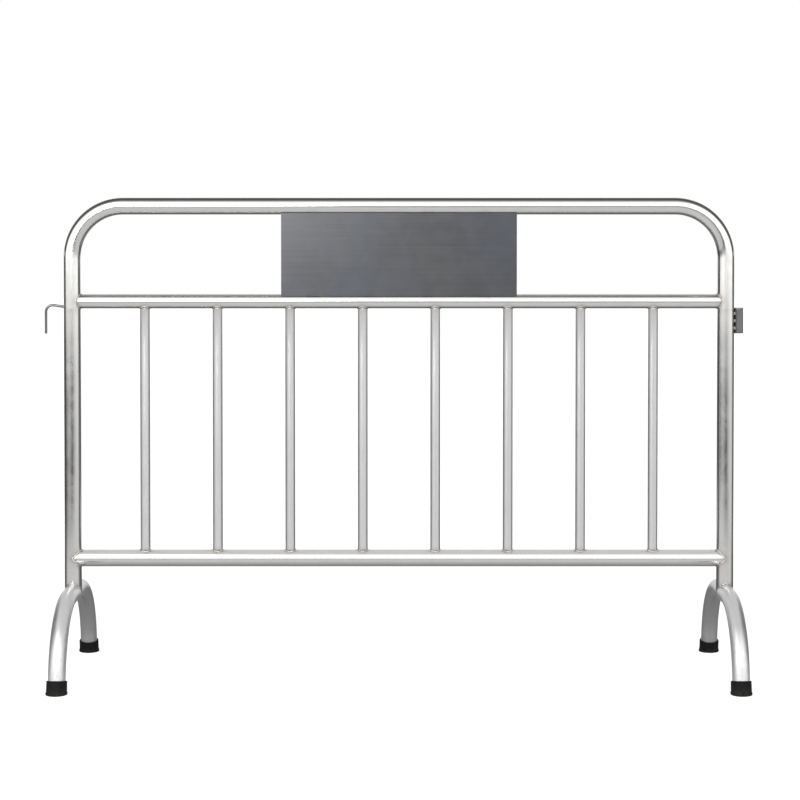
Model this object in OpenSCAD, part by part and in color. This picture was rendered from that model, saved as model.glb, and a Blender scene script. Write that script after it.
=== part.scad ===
// Crowd control barrier of welded steel tube.
// One bent hoop makes both posts and the top rail. Two rails and a row of balusters fill it, and
// a blank sign plate fills the head. Each post stands on an arched foot with two rubber caps.
// A rod hook on one post drops into the socket on the next barrier's post.
// Millimetres. X runs along the barrier, the sign faces -Y and the floor is Z = 0.
// The origin is on the floor, at the middle of the barrier's box with its hook and socket.

/* [Hoop] */
// Width over the two posts
overall_w = 1500; // [1000:10:2500]
// Height of the top rail above the floor
overall_h = 1065; // [900:5:1300]
// Outside diameter of the hoop's tube
hoop_d = 38; // [30:1:50]
// Wall of the hoop's tube
hoop_wall = 1.5; // [1:0.1:3]
// Centreline radius of the two top corners
corner_r = 114; // [70:1:180]

/* [Rails] */
// Outside diameter of the upper rail
upper_rail_d = 32; // [24:1:42]
// Outside diameter of the lower rail
lower_rail_d = 38; // [24:1:45]
// Wall of both rails
rail_wall = 1.2; // [0.8:0.1:3]
// Drop from the top rail's axis to the upper rail's axis
head_gap = 213; // [120:1:320]
// Length of post that shows between the foot and the lower rail
stub_h = 40; // [20:1:120]

/* [Balusters] */
// Number of balusters
baluster_n = 8; // [2:1:12]
// Outside diameter of a baluster
baluster_d = 22; // [12:1:24]
// Wall of a baluster
baluster_wall = 1; // [0.8:0.1:2]

/* [Sign plate] */
// Width of the plate
sign_w = 526; // [200:2:600]
// Thickness of the plate
sign_t = 1.5; // [1:0.1:3]
// Distance from the front of the thinner rail back to the plate's face
sign_setback = 3.5; // [2:0.1:5]
// Number of tack welds along each edge, on the back
sign_tack_n = 4; // [2:1:8]
// Length of one tack weld
sign_tack_len = 14; // [6:1:30]
// Radius of a tack weld's section
sign_tack_r = 3; // [2:0.1:4]

/* [Feet] */
// Outside diameter of a foot's tube
foot_d = 38; // [30:1:50]
// Wall of a foot's tube
foot_wall = 1.5; // [1:0.1:3]
// Height of the arch's top above the floor
foot_h = 198; // [186:1:260]
// Length of the arch's straight top
foot_flat = 124; // [80:2:300]
// Centreline radius of the arch's bends
foot_bend_r = 164; // [60:1:175]
// Outward lean of a leg from the vertical, in degrees
foot_splay = 10; // [6:1:20]

/* [Rubber caps] */
// Thickness of the rubber round the tube
cap_wall = 3.4; // [2:0.1:6]
// Length of tube that a cap covers
cap_cover = 22; // [15:1:34]
// Rubber under the lowest edge of the tube
cap_floor = 3.7; // [2:0.1:8]
// How far the foot of a cap flares out
cap_lip = 1; // [0.5:0.1:3]
// Height of the flare above the floor
cap_lip_h = 6; // [3:0.5:10]
// Chamfer round a cap's upper rim
cap_rim = 1.2; // [0.5:0.1:1.8]

/* [Link] */
// Diameter of the hook's rod
hook_d = 6; // [5:0.5:9]
// Distance from the post's surface to the hook's pin
hook_out = 40; // [32:1:60]
// Centreline radius of the hook's bend
hook_bend_r = 15; // [12:0.5:20]
// Upward slope of the hook's arm, in degrees
hook_rise = 8; // [0:1:12]
// Length of the straight pin, down to its round end
hook_pin = 46; // [30:1:80]
// Drop from the upper rail's axis to the hook's weld
hook_drop = 12; // [0:1:30]
// Play between a pin and the socket's bore, all round
socket_play = 5; // [1:0.5:6]
// Wall of the socket
socket_wall = 2; // [1:0.5:3]
// Length of the socket
socket_len = 57; // [40:1:80]
// Clearance between the socket's rim and the hook's arm above it
socket_rim_gap = 1.75; // [1:0.25:4]
// Number of weld beads down each side of the socket
socket_bead_n = 3; // [1:1:4]
// Length of one of those beads
socket_bead_len = 7.6; // [4:0.2:9]

/* [Welds] */
// Spread of a weld over the tube that it lands on
weld_spread = 2.6; // [1.5:0.1:4]
// Climb of a weld up the tube that ends there
weld_climb = 2.3; // [1.5:0.1:4]
// Number of flats in a weld's outline
weld_flats = 10; // [8:2:12]
// Radius of the beads beside the socket
socket_bead_r = 3; // [2:0.1:4]
// Depth that those beads reach into the groove
socket_bead_sink = 1.5; // [0.5:0.1:2]

/* [Hidden] */
// Room left at every joint, so that no two solids overlap
root_gap = 0.1;
// Step in the surface where a straight run leaves a bend, and how far it starts inside the bend
bend_step = 0.03;
bend_lap = 0.5;
// Room between a rubber cap's bore and its tube
cap_fit = 0.1;
// Extra length on a cutting shape, so that it passes right through
through = 1;
$fn = 96;

post_span = overall_w - hoop_d;
top_z = overall_h - hoop_d / 2;
corner_z = top_z - corner_r;
upper_rail_z = top_z - head_gap;
lower_rail_z = foot_h + stub_h + lower_rail_d / 2;
baluster_pitch = post_span / (baluster_n + 1);

sign_face_y = min(hoop_d, upper_rail_d) / 2 - sign_setback;
sign_back_y = sign_face_y - sign_t;
sign_top_z = top_z - sqrt(pow(hoop_d / 2, 2) - pow(sign_back_y, 2)) - root_gap;
sign_bottom_z = upper_rail_z + sqrt(pow(upper_rail_d / 2, 2) - pow(sign_back_y, 2)) + root_gap;

arch_z = foot_h - foot_d / 2;
knee_y = foot_flat / 2 + foot_bend_r * cos(foot_splay);
knee_z = arch_z - foot_bend_r * (1 - sin(foot_splay));
toe_z = cap_floor + foot_d / 2 * sin(foot_splay);
leg_len = (knee_z - toe_z) / cos(foot_splay);
toe_y = knee_y + leg_len * sin(foot_splay);
cap_r = foot_d / 2 + cap_fit + cap_wall;

hook_weld_z = upper_rail_z - hook_drop;
pin_x = hoop_d / 2 + hook_out;
bend_x = pin_x - hook_bend_r;
arm_end_x = bend_x - hook_bend_r * sin(hook_rise);
bend_z = hook_weld_z + (arm_end_x - hoop_d / 2) * tan(hook_rise) - hook_bend_r * cos(hook_rise);
arm_len = arm_end_x / cos(hook_rise);
socket_bore = hook_d + 2 * socket_play;
socket_d = socket_bore + 2 * socket_wall;
socket_x = hoop_d / 2 + root_gap + socket_d / 2;
socket_top_z = bend_z - socket_rim_gap
    + sqrt(pow(hook_bend_r - hook_d / 2, 2) - pow(hook_bend_r - socket_d / 2, 2));
socket_bead_pitch = (socket_len + socket_bead_len) / (socket_bead_n + 1);

// The posts' middle stands off the origin, because the hook reaches further than the socket.
mid_x = (pin_x + hook_d / 2 - socket_x - socket_d / 2) / 2;
left_x = mid_x - post_span / 2;
right_x = mid_x + post_span / 2;

steel = "gainsboro";
weld_metal = "lightsteelblue";

// A round bar along X, centred on its length
module bar_x(d, length) {
    rotate([0, 90, 0]) cylinder(d = d, h = length, center = true);
}

// A round bar along Y, centred on its length
module bar_y(d, length) {
    rotate([90, 0, 0]) cylinder(d = d, h = length, center = true);
}

// Both posts, one after the other
module at_posts() {
    for (x = [left_x, right_x]) translate([x, 0, 0]) children();
}

// Every baluster's axis, one after the other
module at_balusters() {
    for (i = [1:baluster_n]) translate([left_x + i * baluster_pitch, 0, 0]) children();
}

// The room that a tube needs where another tube ends on it
module post_room() {
    at_posts() cylinder(d = hoop_d + 2 * root_gap, h = overall_h);
}

module arch_room() {
    at_posts() translate([0, 0, arch_z]) bar_y(foot_d + 2 * root_gap, foot_flat);
}

module rail_room(d, z) {
    translate([mid_x, 0, z]) bar_x(d + 2 * root_gap, post_span);
}

// A bar along one half of the hoop, from a foot's axis to the middle of the top rail
module half_hoop(d) {
    translate([post_span / 2, 0, arch_z]) cylinder(d = d, h = corner_z - arch_z);
    translate([post_span / 2 - corner_r, 0, corner_z]) rotate([90, 0, 0])
        rotate_extrude(angle = 90) translate([corner_r, 0]) circle(d = d);
    translate([0, 0, top_z]) rotate([0, 90, 0]) cylinder(d = d, h = post_span / 2 - corner_r);
}

module hoop_bar(d) {
    translate([mid_x, 0, 0]) for (turn = [0, 1]) mirror([turn, 0, 0]) half_hoop(d);
}

module top_hoop() {
    color(steel) difference() {
        hoop_bar(hoop_d);
        hoop_bar(hoop_d - 2 * hoop_wall);
        arch_room();
    }
}

// A rail between the posts, with each end cut to sit on its post
module rail(d, z) {
    color(steel) difference() {
        translate([mid_x, 0, z]) bar_x(d, post_span);
        translate([mid_x, 0, z]) bar_x(d - 2 * rail_wall, post_span + 2 * through);
        post_room();
    }
}

// A baluster between the rails' axes, with each end cut to sit on its rail
module baluster(i) {
    length = upper_rail_z - lower_rail_z;
    color(steel) difference() {
        translate([left_x + i * baluster_pitch, 0, lower_rail_z]) difference() {
            cylinder(d = baluster_d, h = length);
            translate([0, 0, -through])
                cylinder(d = baluster_d - 2 * baluster_wall, h = length + 2 * through);
        }
        rail_room(upper_rail_d, upper_rail_z);
        rail_room(lower_rail_d, lower_rail_z);
    }
}

module sign_plate() {
    color("dimgray") translate([mid_x - sign_w / 2, -sign_face_y, sign_bottom_z])
        cube([sign_w, sign_t, sign_top_z - sign_bottom_z]);
}

// A bar along one half of a foot, from the post's axis to the end of the leg.
// The leg is a hair thinner than its bend and starts inside it, so that the two join cleanly.
module half_arch(d, extra) {
    translate([0, 0, arch_z]) rotate([-90, 0, 0]) cylinder(d = d, h = foot_flat / 2);
    translate([0, foot_flat / 2, arch_z - foot_bend_r]) rotate([90, 0, 90]) {
        rotate_extrude(start = foot_splay, angle = 90 - foot_splay)
            translate([foot_bend_r, 0]) circle(d = d);
        rotate([0, 0, foot_splay]) translate([foot_bend_r, bend_lap, 0]) rotate([90, 0, 0])
            cylinder(d = d - 2 * bend_step, h = leg_len + bend_lap + extra);
    }
}

module foot_arch(x) {
    color(steel) translate([x, 0, 0]) difference() {
        for (turn = [0, 1]) mirror([0, turn, 0]) half_arch(foot_d, 0);
        for (turn = [0, 1]) mirror([0, turn, 0]) half_arch(foot_d - 2 * foot_wall, through);
    }
}

// A cap is turned about its leg's axis and cut flat by the floor
module rubber_cap(x, front) {
    under = toe_z + 2 * cap_r * tan(foot_splay);
    flare_z = cap_lip_h - toe_z;
    outline = [[0, -under], [cap_r + cap_lip, -under], [cap_r + cap_lip, flare_z - cap_lip],
        [cap_r, flare_z], [cap_r, cap_cover - cap_rim], [cap_r - cap_rim, cap_cover],
        [0, cap_cover]];
    color("#26262a") translate([x, 0, 0]) mirror([0, front ? 1 : 0, 0]) difference() {
        translate([0, toe_y, toe_z]) rotate([foot_splay, 0, 0]) difference() {
            rotate_extrude() polygon(outline);
            cylinder(d = foot_d + 2 * cap_fit, h = cap_cover + through);
        }
        translate([-2 * cap_r, toe_y - 2 * cap_r, -2 * under])
            cube([4 * cap_r, 4 * cap_r, 2 * under]);
    }
}

// Arm, bend and pin of the hook, on the outside of the left post
module link_hook() {
    color("silver") translate([left_x, 0, 0]) mirror([1, 0, 0]) difference() {
        translate([0, 0, bend_z]) {
            translate([bend_x, 0, 0]) rotate([90, 0, 0]) {
                rotate_extrude(angle = 90 + hook_rise) translate([hook_bend_r, 0]) circle(d = hook_d);
                rotate([0, 0, 90 + hook_rise]) translate([hook_bend_r, -bend_lap, 0]) rotate([-90, 0, 0])
                    cylinder(d = hook_d - 2 * bend_step, h = arm_len + bend_lap);
            }
            translate([pin_x, 0, -hook_pin]) cylinder(d = hook_d, h = hook_pin);
            translate([pin_x, 0, -hook_pin]) sphere(d = hook_d);
        }
        cylinder(d = hoop_d + 2 * root_gap, h = overall_h);
    }
}

module link_socket() {
    color("silver") translate([right_x + socket_x, 0, socket_top_z - socket_len]) difference() {
        cylinder(d = socket_d, h = socket_len);
        translate([0, 0, -through]) cylinder(d = socket_bore, h = socket_len + 2 * through);
    }
}

// A weld round a tube that leaves along +X from a tube along Z, turned up by tilt degrees.
// Its outline on the tube that it lands on has flats, one for each short run of bead.
module saddle_weld(main_d, branch_d, tilt = 0) {
    reach = main_d / 2 + 2 * weld_climb;
    tall = 2 * (branch_d + main_d);
    half_flat = 180 / weld_flats;
    color(weld_metal) difference() {
        intersection() {
            cylinder(d = main_d + 2 * weld_climb, h = tall, center = true);
            rotate([0, 90 - tilt, 0]) rotate([0, 0, half_flat])
                cylinder(d = (branch_d + 2 * weld_spread) / cos(half_flat), h = reach, $fn = weld_flats);
        }
        cylinder(d = main_d + 2 * root_gap, h = tall + 2 * through, center = true);
        rotate([0, 90 - tilt, 0]) translate([0, 0, -through])
            cylinder(d = branch_d + 2 * root_gap, h = reach + 2 * through);
    }
}

module rail_welds(d, z) {
    translate([left_x, 0, z]) saddle_weld(hoop_d, d);
    translate([right_x, 0, z]) mirror([1, 0, 0]) saddle_weld(hoop_d, d);
}

module baluster_top_welds() {
    at_balusters() translate([0, 0, upper_rail_z]) rotate([0, 90, 0])
        saddle_weld(upper_rail_d, baluster_d);
}

module baluster_bottom_welds() {
    at_balusters() translate([0, 0, lower_rail_z]) rotate([0, -90, 0])
        saddle_weld(lower_rail_d, baluster_d);
}

module foot_welds() {
    at_posts() translate([0, 0, arch_z]) rotate([0, 0, 90]) rotate([0, -90, 0])
        saddle_weld(foot_d, hoop_d);
}

module hook_weld() {
    axis_z = hook_weld_z - hoop_d / 2 * tan(hook_rise);
    translate([left_x, 0, axis_z]) mirror([1, 0, 0]) saddle_weld(hoop_d, hook_d, hook_rise);
}

// Beads in the two grooves between the socket and its post
module socket_welds() {
    from_post = hoop_d / 2 + socket_bead_r - socket_bead_sink;
    from_socket = socket_d / 2 + socket_bead_r - socket_bead_sink;
    bead_x = (pow(from_post, 2) - pow(from_socket, 2) + pow(socket_x, 2)) / (2 * socket_x);
    bead_y = sqrt(pow(from_post, 2) - pow(bead_x, 2));
    color(weld_metal) translate([right_x, 0, 0]) difference() {
        for (side = [-1, 1], i = [1:socket_bead_n])
            translate([bead_x, side * bead_y, socket_top_z + socket_bead_len / 2 - i * socket_bead_pitch])
                cylinder(r = socket_bead_r, h = socket_bead_len, center = true);
        cylinder(d = hoop_d + 2 * root_gap, h = overall_h);
        translate([socket_x, 0, 0]) cylinder(d = socket_d + 2 * root_gap, h = overall_h);
    }
}

// Tack welds in the corner between the plate's back and the rail along one of its edges
module sign_tacks(edge_z, rail_d, rail_z) {
    tack_pitch = (sign_w - sign_tack_len) / sign_tack_n;
    color(weld_metal) difference() {
        for (i = [1:sign_tack_n])
            translate([mid_x + (i - (sign_tack_n + 1) / 2) * tack_pitch, -sign_back_y, edge_z])
                bar_x(2 * sign_tack_r, sign_tack_len);
        rail_room(rail_d, rail_z);
        translate([mid_x - sign_w / 2, -sign_back_y + root_gap - 2 * hoop_d, edge_z - hoop_d])
            cube([sign_w, 2 * hoop_d, 2 * hoop_d]);
    }
}

top_hoop();
rail(upper_rail_d, upper_rail_z);  // upper_rail
rail(lower_rail_d, lower_rail_z);  // lower_rail
for (i = [1:baluster_n]) baluster(i);
sign_plate();
foot_arch(left_x);  // left_foot_arch
foot_arch(right_x);  // right_foot_arch
rubber_cap(left_x, true);  // left_front_cap
rubber_cap(left_x, false);  // left_rear_cap
rubber_cap(right_x, true);  // right_front_cap
rubber_cap(right_x, false);  // right_rear_cap
link_hook();
link_socket();
rail_welds(upper_rail_d, upper_rail_z);  // upper_rail_welds
rail_welds(lower_rail_d, lower_rail_z);  // lower_rail_welds
baluster_top_welds();
baluster_bottom_welds();
foot_welds();
hook_weld();
socket_welds();
sign_tacks(sign_top_z, hoop_d, top_z);  // sign_top_tacks
sign_tacks(sign_bottom_z, upper_rail_d, upper_rail_z);  // sign_bottom_tacks
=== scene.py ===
import math

import bpy
import numpy as np
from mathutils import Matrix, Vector
from mathutils.kdtree import KDTree


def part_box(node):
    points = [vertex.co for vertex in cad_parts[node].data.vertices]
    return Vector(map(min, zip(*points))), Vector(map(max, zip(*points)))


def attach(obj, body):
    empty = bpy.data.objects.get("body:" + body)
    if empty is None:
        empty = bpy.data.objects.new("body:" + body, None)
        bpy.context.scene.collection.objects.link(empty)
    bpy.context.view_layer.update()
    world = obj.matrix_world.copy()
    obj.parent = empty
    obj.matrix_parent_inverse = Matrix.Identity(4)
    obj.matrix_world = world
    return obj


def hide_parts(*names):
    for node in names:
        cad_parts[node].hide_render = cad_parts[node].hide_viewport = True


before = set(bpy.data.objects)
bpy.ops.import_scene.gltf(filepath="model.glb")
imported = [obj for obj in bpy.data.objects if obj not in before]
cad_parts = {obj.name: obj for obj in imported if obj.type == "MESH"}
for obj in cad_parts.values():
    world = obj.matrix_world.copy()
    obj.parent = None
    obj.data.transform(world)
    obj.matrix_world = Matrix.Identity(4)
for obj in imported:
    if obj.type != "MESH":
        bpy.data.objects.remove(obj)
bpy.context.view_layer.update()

print("frame loaded")


# camera
cameraValues = {
    "lens": 91.98,  # mm, on a 36 mm sensor
    "place": (0.0137, -4.572, 0.9698),
    "pitch": 1.341,  # degrees below the horizon
    "shiftY": -0.14,
}


def show(made):
    bpy.context.scene.collection.objects.link(made)
    return made


def makeCamera(v):
    data = bpy.data.cameras.new("viewCamera")
    data.lens = v["lens"]
    data.sensor_width = 36.0
    data.shift_y = v["shiftY"]
    camera = show(bpy.data.objects.new("viewCamera", data))
    camera.location = v["place"]
    camera.rotation_euler = (math.radians(90 - v["pitch"]), 0, 0)
    bpy.context.scene.camera = camera
    bpy.context.scene.view_settings.view_transform = "Standard"


makeCamera(cameraValues)
print("camera made")


# places, all read from the frame
def lowest(node):
    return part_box(node)[0]


def highest(node):
    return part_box(node)[1]


def middle(node):
    low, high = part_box(node)
    return (low + high) / 2


tubeValues = {
    "hoop": 0.038,  # outside diameters and walls of the tubes, in metres
    "hoopWall": 0.0015,
    "hoopBend": 0.114,
    "upperRail": 0.032,
    "lowerRail": 0.038,
    "railWall": 0.0012,
    "baluster": 0.022,
    "balusterWall": 0.001,
    "balusterCount": 8,
    "foot": 0.038,
    "footWall": 0.0015,
    "footBend": 0.164,
    "footSplay": 10.0,  # degrees that a leg leans out
    "ringStep": 0.008,  # distance between the rings of faces along a tube
    "sides": 56,
    "balusterStep": 0.01,
    "balusterSides": 40,
    "footStep": 0.005,
}

leftX = lowest("top_hoop").x + tubeValues["hoop"] / 2
rightX = highest("top_hoop").x - tubeValues["hoop"] / 2
topZ = highest("top_hoop").z - tubeValues["hoop"] / 2
upperRailZ = middle("upper_rail").z
lowerRailZ = middle("lower_rail").z
archZ = highest("left_foot_arch").z - tubeValues["foot"] / 2
balusterX = [middle(f"baluster_{i + 1}").x for i in range(tubeValues["balusterCount"])]
splay = math.radians(tubeValues["footSplay"])
toeY = highest("left_foot_arch").y - tubeValues["foot"] / 2 * math.cos(splay)
toeZ = lowest("left_foot_arch").z + tubeValues["foot"] / 2 * math.sin(splay)


# node helpers
def fill(node, values):
    for key, value in values.items():
        if isinstance(value, bpy.types.NodeSocket):
            node.id_data.links.new(value, node.inputs[key])
        elif value is not None:
            node.inputs[key].default_value = value


def add(tree, kind, values=None, **settings):
    node = tree.nodes.new(kind)
    for key, value in settings.items():
        setattr(node, key, value)
    fill(node, values or {})
    return node


def shaderNode(tree, kind, values=None, **settings):  # a new node's first output
    return add(tree, "ShaderNode" + kind, values, **settings).outputs[0]


def geometryNode(tree, kind, values=None, **settings):
    return add(tree, "GeometryNode" + kind, values, **settings).outputs[0]


def calc(tree, operation, *values):
    return shaderNode(tree, "Math", dict(enumerate(values)), operation=operation)


def vector(tree, operation, *values):
    node = add(tree, "ShaderNodeVectorMath", dict(enumerate(values)), operation=operation)
    return node.outputs["Value" if operation in ("DOT_PRODUCT", "LENGTH") else "Vector"]


def scaled(tree, value, factor):
    node = add(tree, "ShaderNodeVectorMath", {0: value, "Scale": factor}, operation="SCALE")
    return node.outputs["Vector"]


def product(tree, first, *others):
    for other in others:
        first = calc(tree, "MULTIPLY", first, other)
    return first


def oneMinus(tree, value):
    return calc(tree, "SUBTRACT", 1.0, value)


def combine(tree, x=None, y=None, z=None):
    return shaderNode(tree, "CombineXYZ", {0: x, 1: y, 2: z})


def separate(tree, value):
    return add(tree, "ShaderNodeSeparateXYZ", {0: value}).outputs


def remap(tree, value, fromMin, fromMax, toMin=0.0, toMax=1.0, kind="LINEAR"):
    values = {0: value, 1: fromMin, 2: fromMax, 3: toMin, 4: toMax}
    return shaderNode(tree, "MapRange", values, interpolation_type=kind)


def noise(tree, place, scale, detail, more=None, output=0):
    values = {"Vector": place, "Scale": scale, "Detail": detail, **(more or {})}
    return add(tree, "ShaderNodeTexNoise", values).outputs[output]


def quarterRound(tree, distance, radius):  # rises from 0 to 1 as the edge of a ball does
    share = calc(tree, "MINIMUM", calc(tree, "DIVIDE", distance, radius), 1.0)
    rest = oneMinus(tree, share)
    return calc(tree, "SQRT", calc(tree, "MAXIMUM", oneMinus(tree, product(tree, rest, rest)), 0.0))


def blendColours(tree, factor, first, second, kind="MIX"):
    values = {0: factor, 6: first, 7: second}
    return add(tree, "ShaderNodeMix", values, data_type="RGBA", blend_type=kind).outputs[2]


def blendNumbers(tree, factor, first, second):
    return shaderNode(tree, "Mix", {0: factor, 2: first, 3: second})


def useStops(ramp, places, colours):
    stops = ramp.color_ramp.elements
    while len(stops) < len(places):
        stops.new(0.5)
    for stop, position, colour in zip(stops, places, colours):
        stop.position = position
        stop.color = colour


def newGroup(name, kind, inputs, outputs):  # an input's value also gives its type, or a word names it
    tree = bpy.data.node_groups.new(name, kind)
    typeOf = {float: "Float", int: "Int", bool: "Bool", tuple: "Vector"}
    for label, value in inputs.items():
        socketType = value if isinstance(value, str) else typeOf[type(value)]
        socket = tree.interface.new_socket(label, in_out="INPUT", socket_type="NodeSocket" + socketType)
        if not isinstance(value, str):
            socket.default_value = value
    for label, socketType in outputs.items():
        tree.interface.new_socket(label, in_out="OUTPUT", socket_type="NodeSocket" + socketType)
    return tree, add(tree, "NodeGroupInput").outputs, add(tree, "NodeGroupOutput")


# shared shader groups
def makeGrainGroup():  # fine lines along and round a tube, and slow waves in its surface
    tree, given, result = newGroup(
        "polishLines",
        "ShaderNodeTree",
        {
            "Place": "Vector",
            "Ring Density": 900.0,
            "Streak Density": 1100.0,
            "Wave Density": 22.0,
        },
        {"Rings": "Float", "Streaks": "Float", "Waves": "Float"},
    )
    ringScale = combine(tree, given["Ring Density"], 70.0, 70.0)
    streakScale = combine(tree, 9.0, given["Streak Density"], given["Streak Density"])
    for label, scale, detail in (("Rings", ringScale, 3.0), ("Streaks", streakScale, 2.0)):
        place = vector(tree, "MULTIPLY", given["Place"], scale)
        fill(result, {label: noise(tree, place, 1.0, detail)})
    fill(result, {"Waves": noise(tree, given["Place"], given["Wave Density"], 1.5, {"Roughness": 0.4})})
    return tree


def makeScuffGroup():  # short scratches in patches, and soft hand smudges
    tree, given, result = newGroup(
        "handlingMarks",
        "ShaderNodeTree",
        {
            "Place": "Vector",
            "Scratch Amount": 0.5,
            "Smudge Amount": 0.5,
        },
        {"Scratches": "Float", "Smudges": "Float"},
    )
    place = given["Place"]
    turned = vector(tree, "ADD", place, scaled(tree, noise(tree, place, 18.0, 1.0, output="Color"), 0.02))
    thin = noise(tree, vector(tree, "MULTIPLY", turned, (1500.0, 90.0, 240.0)), 1.0, 2.0)
    lines = remap(tree, thin, 0.66, 0.72)
    patches = remap(tree, noise(tree, place, 14.0, 3.0), 0.5, 0.62)
    cloud = noise(tree, place, 26.0, 4.0, {"Roughness": 0.62, "Distortion": 0.6})
    smudges = remap(tree, cloud, 0.42, 0.7)
    fill(result, {"Scratches": product(tree, lines, patches, given["Scratch Amount"])})
    fill(result, {"Smudges": product(tree, smudges, given["Smudge Amount"])})
    return tree


def makeHeatGroup():  # straw, brown and blue bands beside a weld, and the soot right at it
    tree, given, result = newGroup(
        "weldHeat",
        "ShaderNodeTree",
        {
            "Nearness": 0.0,
            "Place": "Vector",
            "Tint Amount": 0.35,
            "Soot Amount": 0.5,
        },
        {"Tint": "Color", "Tint Mask": "Float", "Soot Mask": "Float"},
    )
    shake = calc(tree, "MULTIPLY_ADD", noise(tree, given["Place"], 95.0, 3.0), 0.5, -0.25)
    near = calc(tree, "ADD", given["Nearness"], product(tree, shake, given["Nearness"]))
    ramp = add(tree, "ShaderNodeValToRGB", {0: near})
    bands = [
        (0.0, (1.0, 1.0, 1.0, 1)),
        (0.35, (0.96, 0.9, 0.78, 1)),
        (0.58, (0.86, 0.72, 0.5, 1)),
        (0.75, (0.62, 0.5, 0.46, 1)),
        (0.88, (0.45, 0.5, 0.62, 1)),
        (1.0, (0.5, 0.5, 0.52, 1)),
    ]
    useStops(ramp, *zip(*bands))
    speck = remap(tree, noise(tree, given["Place"], 230.0, 2.0), 0.5, 0.62)
    soot = product(tree, remap(tree, near, 0.72, 0.98), speck, given["Soot Amount"])
    tint = product(tree, remap(tree, near, 0.15, 0.8), given["Tint Amount"])
    fill(result, {"Tint": ramp.outputs[0], "Tint Mask": tint, "Soot Mask": soot})
    return tree


def makeDustGroup():  # dust that thins out above the floor
    tree, given, result = newGroup(
        "floorDust",
        "ShaderNodeTree",
        {
            "Place": "Vector",
            "Reach": 0.05,
            "Amount": 0.4,
        },
        {"Mask": "Float"},
    )
    height = separate(tree, given["Place"])[2]
    low = calc(tree, "MAXIMUM", oneMinus(tree, calc(tree, "DIVIDE", height, given["Reach"])), 0.0)
    patchy = remap(tree, noise(tree, given["Place"], 160.0, 5.0), 0.38, 0.66)
    fill(result, {"Mask": product(tree, low, patchy, given["Amount"])})
    return tree


polishLines = makeGrainGroup()
handlingMarks = makeScuffGroup()
weldHeat = makeHeatGroup()
floorDust = makeDustGroup()


# materials
finishValues = {  # depths of the fine relief are in metres
    "polishedTube": {
        "colour": (0.665, 0.662, 0.652, 1),
        "roughness": (0.11, 0.22),
        "ringDepth": 0.0000006,
        "streakDepth": 0.0000006,
        "waveDepth": 0.00005,
        "tint": 0.22,
        "soot": 0.7,
    },
    "satinTube": {
        "colour": (0.575, 0.575, 0.58, 1),
        "roughness": (0.31, 0.44),
        "ringDepth": 0.000004,
        "streakDepth": 0.000003,
        "waveDepth": 0.00003,
        "tint": 0.25,
        "soot": 0.8,
    },
    "hookRod": {
        "colour": (0.2, 0.2, 0.21, 1),
        "roughness": (0.24, 0.42),
        "ringDepth": 0.000003,
        "streakDepth": 0.000004,
        "waveDepth": 0.00002,
        "tint": 0.3,
        "soot": 0.7,
    },
}
# the feet have the balusters' finish, rougher, and with a paler colour that is painted light: it brightens
# the feet as more light falling on them would
finishValues["litFootTube"] = {
    **finishValues["satinTube"],
    "colour": (0.64, 0.64, 0.645, 1),
    "roughness": (0.36, 0.52),
}
scratchDepth = 0.0000012  # on every tube


def newMaterial(name, **values):
    material = bpy.data.materials.new(name)
    material.use_nodes = True
    tree = material.node_tree
    shader = next(n for n in tree.nodes if n.type == "BSDF_PRINCIPLED")
    fill(shader, values)
    return material, tree, shader


def objectPlace(tree):
    return add(tree, "ShaderNodeTexCoord").outputs["Object"]


def attribute(tree, name, output="Vector"):
    return add(tree, "ShaderNodeAttribute", attribute_name=name).outputs[output]


def useGroup(tree, group, values):
    return add(tree, "ShaderNodeGroup", values, node_tree=group).outputs


def heatMarks(tree, near, place, tint, soot):
    amounts = {"Tint Amount": tint, "Soot Amount": soot}
    return useGroup(tree, weldHeat, {"Nearness": near, "Place": place, **amounts})


def times(colour, factor):
    return tuple(c * factor for c in colour[:3]) + (1,)


def tinted(tree, heat, colour):
    return blendColours(tree, heat["Tint Mask"], colour, heat["Tint"], "MULTIPLY")


def addBump(tree, shader, height, distance=1.0):
    bump = {"Height": height, "Distance": distance, "Strength": 1.0}
    fill(shader, {"Normal": shaderNode(tree, "Bump", bump)})


def showShader(tree, socket):
    output = next(n for n in tree.nodes if n.type == "OUTPUT_MATERIAL")
    fill(output, {"Surface": socket})


def makeTubeSteel(name, v):
    material, tree, shader = newMaterial(name, Metallic=1.0, IOR=2.6)
    place = objectPlace(tree)
    lines = useGroup(tree, polishLines, {"Place": attribute(tree, "tubePlace")})
    marks = useGroup(tree, handlingMarks, {"Place": place, "Scratch Amount": 0.6, "Smudge Amount": 0.55})
    heat = heatMarks(tree, attribute(tree, "nearWeld", "Fac"), place, v["tint"], v["soot"])
    dust = useGroup(tree, floorDust, {"Place": place, "Reach": 0.14, "Amount": 0.28})["Mask"]
    low, high = v["roughness"]
    rough = low
    for mask, amount in (
        (lines["Rings"], (high - low) * 0.5),
        (marks["Smudges"], (high - low) * 0.9),
        (marks["Scratches"], 0.18),
        (heat["Soot Mask"], 0.25),
        (dust, 0.3),
    ):
        rough = calc(tree, "MULTIPLY_ADD", mask, amount, rough)
    colour = blendColours(tree, marks["Smudges"], v["colour"], times(v["colour"], 0.93))
    colour = blendColours(tree, heat["Soot Mask"], tinted(tree, heat, colour), (0.07, 0.062, 0.055, 1))
    colour = blendColours(tree, dust, colour, (0.32, 0.3, 0.27, 1))
    fill(shader, {"Base Color": colour, "Roughness": rough})
    relief = product(tree, lines["Waves"], v["waveDepth"])
    for mask, depth in (
        (lines["Rings"], v["ringDepth"]),
        (lines["Streaks"], v["streakDepth"]),
        (marks["Scratches"], -scratchDepth),
    ):
        relief = calc(tree, "MULTIPLY_ADD", mask, depth, relief)
    addBump(tree, shader, relief)
    return material


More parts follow.
